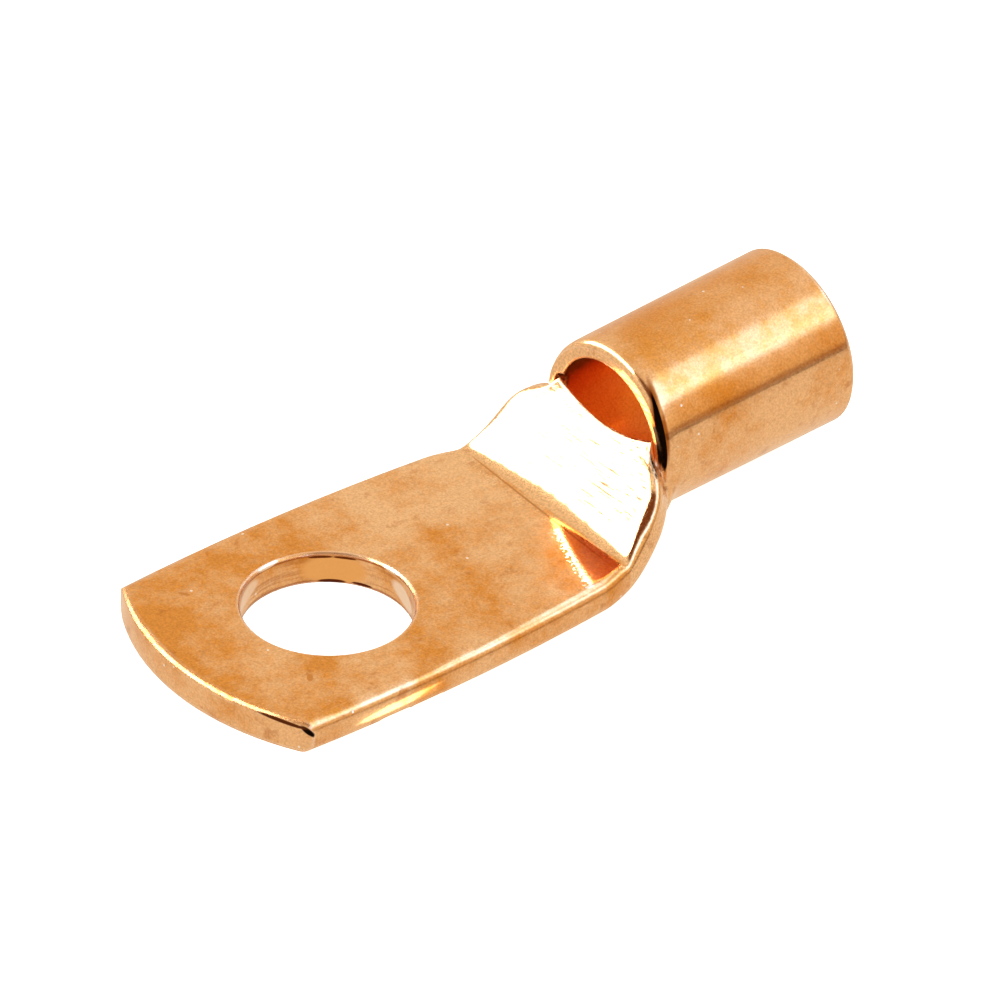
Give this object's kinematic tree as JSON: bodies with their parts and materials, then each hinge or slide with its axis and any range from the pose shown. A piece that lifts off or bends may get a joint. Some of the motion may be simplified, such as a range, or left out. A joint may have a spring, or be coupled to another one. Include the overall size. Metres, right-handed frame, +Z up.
{
  "type": "cable lug",
  "caption": "Tubular crimp lug in bare copper: a round barrel for the wire, an inspection window, and a pressed flat palm with a bolt hole.",
  "frame": {"origin": "on the axis of the bolt hole, at the palm's underside", "axes": "+Z up through the bolt hole out of the palm's top, +X from the palm's tip to the mouth of the barrel, +Y across the palm"},
  "size_m": [0.0381, 0.0152, 0.0098],
  "materials": {
    "copper": "bare drawn copper tube, pickled, softly bright with light handling marks"
  },
  "bodies": {
    "root": {"lug_body": "copper"}
  },
  "joints": []
}
